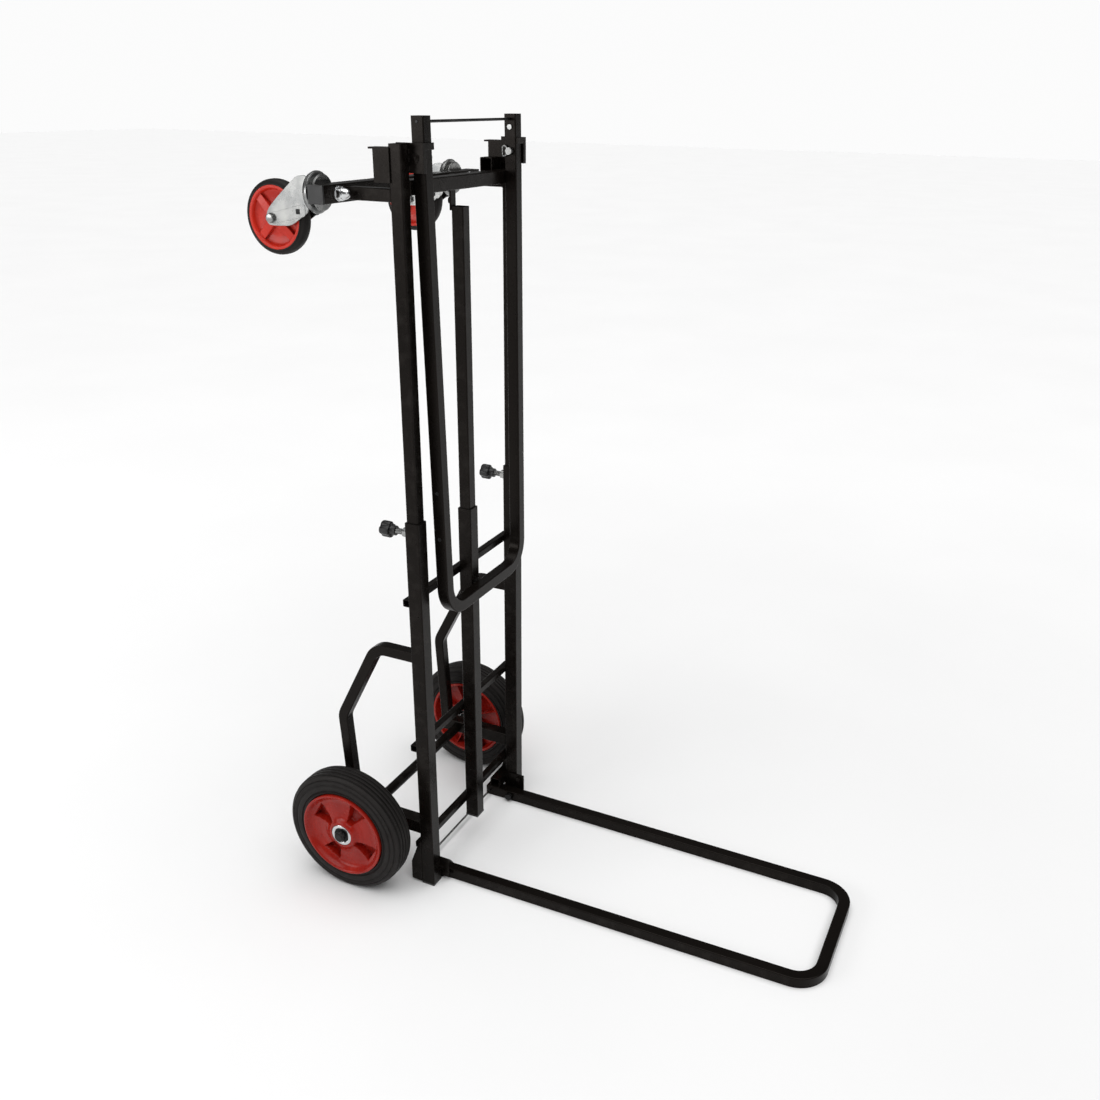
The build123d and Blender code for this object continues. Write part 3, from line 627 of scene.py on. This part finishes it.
def rear_rim(side, sign):
    """Dished rim with four closed wedge pockets in front and eight ribs behind."""
    node = "wheel_rim_" + side
    centre = mid("wheel_tyre_" + side)
    radius = span(node).z / 2
    half = span("wheel_tyre_" + side).x / 2
    hub = span("wheel_bearings_" + side).x / 2
    drum = radius - DRUM_WALL
    seat = hub - SEAT_DEPTH
    profile = [(SEAT_RADIUS, seat), (SEAT_RADIUS, hub)]
    for i in range(FACE_RINGS + 1):
        r = FACE_INNER + (FACE_OUTER - FACE_INNER) * i / FACE_RINGS
        profile.append((r * MM, smooth_dish(r) * MM, True))
    profile += [(radius, DISH[-1][1] * MM), (radius, -half + 0.6 * MM),
                (radius - 0.6 * MM, -half), (drum + 0.6 * MM, -half),
                (drum, -half + 0.6 * MM), (drum, WEB_BACK - 2 * MM),
                (drum - 2 * MM, WEB_BACK), (26 * MM, WEB_BACK),
                (24 * MM, WEB_BACK - 2 * MM), (23.6 * MM, -hub + 0.6 * MM),
                (23 * MM, -hub), (SEAT_RADIUS, -hub), (SEAT_RADIUS, -seat),
                (TUNNEL_RADIUS, -seat), (TUNNEL_RADIUS, seat)]
    mesh = bmesh.new()
    turn = math.radians(30 if sign > 0 else 60)
    lathe(mesh, profile, centre, X * sign, 288, lift=pocket_shape(turn))
    rim = place("rim_" + side, mesh, "red_plastic", "wheel_" + side, smooth=0.9)
    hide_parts(node)
    mesh = bmesh.new()
    outline = [(23 * MM, -16 * MM), (30 * MM, -12 * MM), (70 * MM, -14 * MM),
               (76.8 * MM, -20 * MM), (76.8 * MM, WEB_BACK + 1 * MM),
               (23 * MM, WEB_BACK + 1 * MM)]
    wheel_ribs(mesh, centre, outline, RIM_RIBS, RIB_HALF, sign)
    place("rim_ribs_" + side, mesh, "red_plastic", "wheel_" + side, bevel=0.5 * MM)


AXLE_NUT_LENGTH = 9 * MM
NUT_FLANGE = 1.2 * MM
NUT_HEX = 6 * MM


def axle_nuts():
    """Black lock nuts: flange, hexagon and domed collar."""
    node = "axle_nuts"
    mesh = bmesh.new()
    across = span(node).z * 0.86
    bore = span("axle").z / 2 + 0.05 * MM
    for sign in SIDES.values():
        end = high(node).x if sign > 0 else low(node).x
        start = Vector((end - sign * AXLE_NUT_LENGTH, mid(node).y, mid(node).z))
        flange = across * 0.56
        lathe(mesh, [(bore, 0), (flange, 0), (flange, NUT_FLANGE), (bore, NUT_FLANGE)],
              start, X * sign, 48)
        hex_head(mesh, start + X * sign * NUT_FLANGE, X * sign, across, NUT_HEX, bore)
        top = start + X * sign * (NUT_FLANGE + NUT_HEX)
        lathe(mesh, [(bore, 0), (across * 0.43, 0), (across * 0.42, 1.3 * MM),
                     (bore + 1.0 * MM, 1.8 * MM), (bore, 1.6 * MM)], top, X * sign, 48)
    nuts = place("lock_nuts", mesh, "blackened_steel", "frame")
    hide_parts(node)


# ---- casters -----------------------------------------------------------------------
SMALL_BOLT_RADIUS = 4 * MM
SMALL_BOLT_ACROSS = 12 * MM
CASTER_SPOKES = 4
SPOKE_HALF = 6 * MM
CUP_DEPTH = 12 * MM
LEG_GAP = 3 * MM                  # small tyre to fork leg
LEG_THICK = 2.4 * MM
HEAD_GAP = 6 * MM                 # small tyre to the bolt's hexagons
WINDOW_HALF = 3.6 * MM


def caster_tyre(side):
    """Small solid tyre with a rounded tread."""
    node = "caster_tyre_" + side
    centre = mid(node)
    radius = span(node).z / 2
    half = span(node).x / 2
    bore = span("caster_rim_" + side).z / 2 + SEAT_GAP
    arc = []
    for k in range(9):
        angle = math.pi * (k / 8 - 0.5)
        arc.append((radius - 6 * MM * (1 - math.cos(angle)) ** 1.3,
                    half * 0.93 * math.sin(angle)))
    profile = [(bore, -half), (bore + 1 * MM, -half), (bore + 1.6 * MM, -half * 0.93)]
    profile += arc + [(bore + 1.6 * MM, half * 0.93), (bore + 1 * MM, half), (bore, half)]
    mesh = bmesh.new()
    lathe(mesh, profile, centre, X, 112)
    tyre = place("small_tyre_" + side, mesh, "tyre_rubber", "caster_wheel_" + side)
    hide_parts(node)


def caster_rim(side):
    """Dished red rim with wide spokes and a round hub on both faces."""
    node = "caster_rim_" + side
    centre = mid(node)
    radius = span(node).z / 2
    half = span("caster_tyre_" + side).x / 2
    hub_half = span(node).x / 2
    bore = SMALL_BOLT_RADIUS + 0.1 * MM
    mesh = bmesh.new()
    face = [(bore, hub_half), (10.5 * MM, hub_half), (12 * MM, hub_half - 1.5 * MM),
            (12.6 * MM, 4.6 * MM), (15 * MM, 3.6 * MM), (radius - 10 * MM, 3.6 * MM),
            (radius - 6.5 * MM, 5 * MM), (radius - 5 * MM, half - 1 * MM),
            (radius - 4 * MM, half), (radius - 0.8 * MM, half), (radius, half - 0.8 * MM)]
    profile = face + [(r, -h) for r, h in reversed(face)]
    lathe(mesh, profile, centre, X, 96)
    inner, outer = 11.5 * MM, radius - 5.5 * MM
    outline = [(inner, hub_half - 3.2 * MM), (outer, 8 * MM), (outer, 3 * MM),
               (inner, 3 * MM)]
    for end in (-1, 1):
        wheel_ribs(mesh, centre, outline, CASTER_SPOKES, SPOKE_HALF, end)
    # the brighter red copy on the small rims is painted light
    rim = place("small_rim_" + side, mesh, "red_plastic", "caster_wheel_" + side,
                bevel=0.8 * MM, look=LIT_CASTER_RED)
    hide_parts(node)


def caster_fork(side):
    """Pressed fork: round cup, two rounded legs, a raised rib with a square window drawn as
    a dark plate of painted shade.
    """
    node = "caster_fork_" + side
    head = mid("caster_head_" + side)
    hub = mid("caster_tyre_" + side)
    radius = span("caster_head_" + side).z / 2 + 4 * MM
    cup_y = low(node).y
    top_y = cup_y + CUP_DEPTH
    mesh = bmesh.new()
    lathe(mesh, [(5.2 * MM, 0), (radius - 2 * MM, 0), (radius, 1.4 * MM),
                 (radius, 4.6 * MM), (radius - 1.2 * MM, 6.2 * MM),
                 (radius - 2.5 * MM, 9.5 * MM), (radius - 6 * MM, 11.6 * MM),
                 (radius - 12 * MM, CUP_DEPTH), (5.2 * MM, CUP_DEPTH)],
          (head.x, cup_y, head.z), Y, 96)
    gap = span("caster_tyre_" + side).x / 2 + LEG_GAP
    drop = hub.z - head.z
    reach = hub.y - top_y
    leg = rounded([(-4 * MM, 24 * MM), (-4 * MM, -25 * MM), (reach * 0.45, drop - 9 * MM),
                   (reach - 3 * MM, drop - 10.5 * MM), (reach + 9 * MM, drop - 9 * MM),
                   (reach + 8 * MM, drop + 9 * MM), (reach - 7 * MM, drop + 24 * MM),
                   (14 * MM, 22 * MM)], 8 * MM)
    rib = rounded([(2 * MM, drop + 22 * MM), (2 * MM, drop + 5 * MM),
                   (reach - 2 * MM, drop - 8 * MM), (reach + 7 * MM, drop - 6 * MM),
                   (reach + 7 * MM, drop + 6 * MM), (reach - 4 * MM, drop + 8 * MM)],
                  5 * MM)
    for end in (-1, 1):
        wall = Vector((head.x + end * gap, top_y, head.z))
        plate(mesh, leg, wall, LEG_THICK, X * end)
        plate(mesh, rib, wall + X * end * 2.2 * MM, 0.75 * MM, X * end)
    fork = place("fork_" + side, mesh, "zinc_plate", "caster_" + side, bevel=0.4 * MM)
    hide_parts(node)
    # painted shade: the square windows are dark plates on the ribs, standing in for the open
    # holes
    mesh = bmesh.new()
    window = rounded([(-WINDOW_HALF, -WINDOW_HALF), (WINDOW_HALF, -WINDOW_HALF),
                      (WINDOW_HALF, WINDOW_HALF), (-WINDOW_HALF, WINDOW_HALF)], 0.8 * MM)
    for end in (-1, 1):
        spot = Vector((head.x + end * (gap + 2.3 * MM), top_y + 15 * MM,
                       head.z + drop + 11 * MM))
        plate(mesh, window, spot, 0.7 * MM, X * end)
    place("fork_window_shade_" + side, mesh, "zinc_plate", "caster_" + side, look=HOLE_SHADE_AND_SEAL)


def caster_bolt(side):
    """Bolt through the small wheel with a hexagon at both ends."""
    node = "caster_axle_" + side
    centre = mid(node)
    start, end = low(node).x, high(node).x
    gap = span("caster_tyre_" + side).x / 2 + HEAD_GAP
    hub = mid("caster_tyre_" + side)
    near = Vector((hub.x - gap, centre.y, centre.z))
    far = Vector((hub.x + gap, centre.y, centre.z))
    mesh = bmesh.new()
    lathe(mesh, [(SMALL_BOLT_RADIUS, 0), (SMALL_BOLT_RADIUS, 2 * gap)], near, X, 40, False)
    hex_head(mesh, near, -X, SMALL_BOLT_ACROSS, near.x - start)
    hex_head(mesh, far, X, SMALL_BOLT_ACROSS, end - far.x)
    bolt = place("small_axle_" + side, mesh, "zinc_plate", "caster_" + side)
    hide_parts(node)


def caster_race(side):
    """Fixed race: stepped plate with a rolled edge behind the swivel cup."""
    node = "caster_head_" + side
    head = mid(node)
    radius = span(node).z / 2
    carrier_back = high("caster_carrier").y
    mesh = bmesh.new()
    lathe(mesh, [(5.1 * MM, 0), (radius - 1.5 * MM, 0), (radius, 1.2 * MM),
                 (radius, 2.6 * MM), (radius - 2 * MM, 3.6 * MM),
                 (radius - 4.5 * MM, 6.9 * MM), (5.1 * MM, 6.9 * MM)],
          (head.x, carrier_back, head.z), Y, 84)
    lathe(mesh, [(4.95 * MM, 0), (4.95 * MM, span(node).y)],
          (head.x, low(node).y, head.z), Y, 40, False)
    race = place("swivel_race_" + side, mesh, "zinc_plate", "upper_frame")
    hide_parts(node)


DOME_NUT_ACROSS = 17 * MM
DOME_NUT_BASE = 9 * MM
DOME_FLANGE = 1.3 * MM
DOME_BORE = 5.2 * MM


def dome_nuts():
    """Bright dome nuts on the kingpins, in front of the carrier."""
    node = "dome_nuts"
    front = low("caster_carrier").y
    mesh = bmesh.new()
    for side in SIDES:
        head = mid("caster_head_" + side)
        start = Vector((head.x, front, head.z))
        flange = DOME_NUT_ACROSS * 0.62
        lathe(mesh, [(DOME_BORE, 0), (flange, 0), (flange, DOME_FLANGE),
                     (DOME_BORE, DOME_FLANGE)], start, -Y, 60)
        hex_head(mesh, start - Y * DOME_FLANGE, -Y, DOME_NUT_ACROSS,
                 DOME_NUT_BASE - DOME_FLANGE, DOME_BORE)
        dome = span(node).y - DOME_NUT_BASE
        radius = DOME_NUT_ACROSS * 0.47
        profile = [(DOME_BORE, 0), (radius, 0)]
        for k in range(1, 10):
            angle = math.pi / 2 * k / 9
            profile.append((max(radius * math.cos(angle), 0.05 * MM),
                            dome * math.sin(angle)))
        lathe(mesh, profile, start - Y * (DOME_NUT_BASE - 0.3 * MM), -Y, 60)
    nuts = place("dome_nut_pair", mesh, "bright_chrome", "upper_frame")
    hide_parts(node)


# ---- clamp knobs -------------------------------------------------------------------
KNOB_LENGTH = 27 * MM
NECK_RADIUS = 9 * MM
FLUTES = 4
FLUTE_DEPTH = 2.6 * MM
STUD_RADIUS = 4.85 * MM
STUD_IN_KNOB = 3 * MM


def fluted(radius, angle):
    """Ring shape of the knob's head: flutes in every ring that is wider than the neck."""
    if radius < NECK_RADIUS:
        return radius
    wave = (1 + math.cos(FLUTES * angle - math.pi)) / 2
    return radius - FLUTE_DEPTH * wave ** 2.2


def clamp_knob(side):
    """Fluted knob with a moulded neck, on a threaded stud."""
    node = "clamp_knob_" + side
    centre = mid(node)
    start, end = low(node).y, high(node).y
    half = span(node).z / 2
    profile = [(4.7 * MM, 0), (7.4 * MM, 0), (8 * MM, 0.7 * MM), (8 * MM, 7.6 * MM),
               (8.6 * MM, 8.8 * MM), (half - 1.6 * MM, 9.2 * MM),
               (half - 0.4 * MM, 10 * MM), (half, 11.4 * MM), (half, 23.5 * MM),
               (half - 0.5 * MM, 25.4 * MM), (half - 1.9 * MM, 26.7 * MM),
               (half - 3.6 * MM, KNOB_LENGTH), (8.2 * MM, KNOB_LENGTH),
               (7.6 * MM, 26.3 * MM), (2 * MM, 26.1 * MM), (0.2 * MM, 26.1 * MM)]
    mesh = bmesh.new()
    lathe(mesh, profile, (centre.x, end - KNOB_LENGTH, centre.z), Y, 96,
          radius_at=fluted)
    knob = place("fluted_knob_" + side, mesh, "black_plastic", "clamp_knob_" + side)
    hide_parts(node)
    mesh = bmesh.new()
    exposed = end - KNOB_LENGTH - start
    thread(mesh, (centre.x, start, centre.z), Y, STUD_RADIUS, exposed + STUD_IN_KNOB)
    place("knob_stud_" + side, mesh, "zinc_plate", "clamp_knob_" + side)


WELD_NUT_ACROSS = 14.6 * MM
WELD_NUT_BORE = 5.1 * MM
WELD_NUT_FLANGE = 2.2 * MM


def clamp_bosses():
    """Flanged weld nuts that the knobs screw into."""
    node = "clamp_bosses"
    mesh = bmesh.new()
    for side in SIDES:
        centre = mid("clamp_knob_" + side)
        start = Vector((centre.x, low(node).y, centre.z))
        lathe(mesh, [(WELD_NUT_BORE, 0), (8.5 * MM, 0), (8.5 * MM, 1.6 * MM),
                     (7.8 * MM, WELD_NUT_FLANGE), (WELD_NUT_BORE, WELD_NUT_FLANGE)],
              start, Y, 60)
        hex_head(mesh, start + Y * WELD_NUT_FLANGE, Y, WELD_NUT_ACROSS,
                 span(node).y - WELD_NUT_FLANGE - 0.1 * MM, WELD_NUT_BORE)
    nuts = place("weld_nuts", mesh, "zinc_plate", "frame")
    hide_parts(node)


# ---- small fittings ----------------------------------------------------------------
def tie_rod_clips():
    """Push-on clips at the ends of the toe loop's tie rod."""
    node = "toe_tie_rod"
    centre = mid(node)
    mesh = bmesh.new()
    for sign in SIDES.values():
        end = high(node).x if sign > 0 else low(node).x
        start = Vector((end - sign * 0.95 * MM, centre.y, centre.z))
        lathe(mesh, [(1.9 * MM, 0), (4.6 * MM, 0), (4.2 * MM, 0.5 * MM),
                     (2.6 * MM, 0.9 * MM), (1.9 * MM, 0.9 * MM)], start, X * sign, 36)
    place("tie_rod_clips", mesh, "zinc_plate", "toe")


ARM_SIDE = 20.4 * MM
ARM_STRAIGHT = 0.067              # tie rod to where the handle arms start to close in
ARM_TAPER = 8.5 * MM / 0.69       # how fast they do
HOLE_DROPS = (0.536, 0.614)       # tie rod to each hole


def arm_holes():
    """Drilled pin holes with a rolled lip in the outer faces of the handle arms, drawn as
    dark discs of painted shade.
    """
    loop = "handle_loop"
    rod = mid("handle_tie_rod")
    lean = (rod.y - (low(loop).y + ARM_SIDE / 2)) / (rod.z - low(loop).z)
    mesh = bmesh.new()
    for sign in SIDES.values():
        for drop in HOLE_DROPS:
            x = high(loop).x - ARM_TAPER * (drop - ARM_STRAIGHT) - 0.25 * MM
            spot = Vector((mid(loop).x + sign * x, rod.y - lean * drop, rod.z - drop))
            lathe(mesh, [(0.1 * MM, 0), (3.1 * MM, 0), (3.3 * MM, 0.45 * MM),
                         (2.7 * MM, 0.42 * MM), (2.3 * MM, 0.28 * MM),
                         (0.1 * MM, 0.27 * MM)], spot, X * sign, 32)
    # painted shade: the holes are dark discs laid on the arms' faces
    place("arm_pin_hole_shades", mesh, "frame_paint", "handle", look=HOLE_SHADE_AND_SEAL)


def pin_cover(side, sign):
    """Domed cover over the outer end of the pull pin's bore."""
    rail = "inner_rail_" + side
    ear_x = mid(rail).x - sign * span(rail).x / 2
    pin_z = mid("pull_pin_" + side).z
    pivot_y = joint_place("handle_fold").y
    mesh = bmesh.new()
    lathe(mesh, [(0.2 * MM, 0), (6.5 * MM, 0), (6.3 * MM, 1.2 * MM), (5.0 * MM, 2.1 * MM),
                 (0.2 * MM, 2.4 * MM)], (ear_x, pivot_y, pin_z), X * sign, 40)
    place("pin_cover_" + side, mesh, "frame_paint", "upper_frame")


def joint_place(joint):
    """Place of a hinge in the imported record."""
    for entry in frame["record"]["behaviour"]["joints"]:
        if entry["name"] == joint:
            return Vector(entry["pos_m"])
    raise KeyError(joint)


def build():
    """Every piece that stands beside or in place of the CAD nodes."""
    lower_welds()
    upper_welds()
    for side, sign in SIDES.items():
        rear_tyre(side, sign)
        rear_hub(side, sign)
        rear_rim(side, sign)
        caster_tyre(side)
        caster_rim(side)
        caster_fork(side)
        caster_bolt(side)
        caster_race(side)
        clamp_knob(side)
        pin_cover(side, sign)
    axle_nuts()
    clamp_bosses()
    dome_nuts()
    tie_rod_clips()
    arm_holes()


build()


# ---- floor, light and camera -------------------------------------------------------
FLOOR_HALF = 30.0


def stage_floor():
    """Wide flat floor at the height of the row frame's origin."""
    mesh = bmesh.new()
    ends = [(-FLOOR_HALF, -FLOOR_HALF), (FLOOR_HALF, -FLOOR_HALF),
            (FLOOR_HALF, FLOOR_HALF), (-FLOOR_HALF, FLOOR_HALF)]
    mesh.faces.new([mesh.verts.new((x, y, 0)) for x, y in ends])
    data = bpy.data.meshes.new("floor")
    mesh.to_mesh(data)
    mesh.free()
    floor = bpy.data.objects.new("floor", data)
    bpy.context.scene.collection.objects.link(floor)
    data.materials.append(floor_paint())


def soft_box(name, spot, target, width, height, power):
    """Area light that looks at a target and stays out of the camera's view."""
    data = bpy.data.lights.new(name, "AREA")
    data.shape = "RECTANGLE"
    data.size = width
    data.size_y = height
    data.energy = power
    light = bpy.data.objects.new(name, data)
    bpy.context.scene.collection.objects.link(light)
    aim = Vector(target) - Vector(spot)
    light.matrix_world = (Matrix.Translation(spot)
                          @ aim.to_track_quat("-Z", "Y").to_matrix().to_4x4())
    light.visible_camera = False


def lights():
    """White backdrop that lights the truck dimly, wide overhead sun, two soft boxes."""
    world = bpy.data.worlds.new("studio")
    bpy.context.scene.world = world
    world.use_nodes = True
    tree = world.node_tree
    back = tree.nodes["Background"]
    back.inputs["Color"].default_value = (0.97, 0.97, 0.97, 1)
    seen = tree.nodes.new("ShaderNodeLightPath").outputs["Is Camera Ray"]
    level = tree.nodes.new("ShaderNodeMapRange")
    level.inputs["To Min"].default_value = 0.17
    level.inputs["To Max"].default_value = 1.0
    tree.links.new(seen, level.inputs["Value"])
    tree.links.new(level.outputs["Result"], back.inputs["Strength"])
    sky = bpy.data.lights.new("ceiling", "SUN")
    sky.energy = 2.7
    sky.angle = 1.3
    ceiling = bpy.data.objects.new("ceiling", sky)
    ceiling.rotation_euler = (0.12, -0.1, 0)
    bpy.context.scene.collection.objects.link(ceiling)
    soft_box("rear_left", (-2.6, 2.3, 1.55), target=(-0.1, 0.2, 1.1), width=2.2,
             height=1.1, power=30)
    soft_box("front_left", (-2.6, -2.2, 2.4), target=(0, 0, 0.5), width=1.4,
             height=1.4, power=8)


# fitted to the straight edges of the reference view; the place is measured from the
# floor below the middle of the lower rails, the angles are radians
CAMERA_PLACE = (-1.5355, -0.88993, 1.32873)
CAMERA_ANGLES = (0.43318, 0.44039, 0.015036)
CAMERA_LENS = 35.69
CAMERA_SHIFT = (-0.01016, 0.05151)


def camera():
    """Camera at the viewing angle of the reference view."""
    spot = Vector(CAMERA_PLACE) + Y * mid("outer_rail_left").y
    yaw, pitch, roll = CAMERA_ANGLES
    ahead = Vector((math.cos(yaw) * math.cos(pitch), math.sin(yaw) * math.cos(pitch),
                    -math.sin(pitch)))
    right = Vector((math.sin(yaw), -math.cos(yaw), 0))
    up = right.cross(ahead)
    side = right * math.cos(roll) + up * math.sin(roll)
    top = up * math.cos(roll) - right * math.sin(roll)
    data = bpy.data.cameras.new("camera")
    data.sensor_width = 36.0
    data.lens = CAMERA_LENS
    data.shift_x, data.shift_y = CAMERA_SHIFT
    data.clip_end = 100
    cam = bpy.data.objects.new("camera", data)
    bpy.context.scene.collection.objects.link(cam)
    turn = Matrix((side, top, -ahead)).transposed().to_4x4()
    cam.matrix_world = Matrix.Translation(spot) @ turn
    bpy.context.scene.camera = cam


stage_floor()
lights()
camera()
bpy.context.scene.view_settings.view_transform = "Standard"
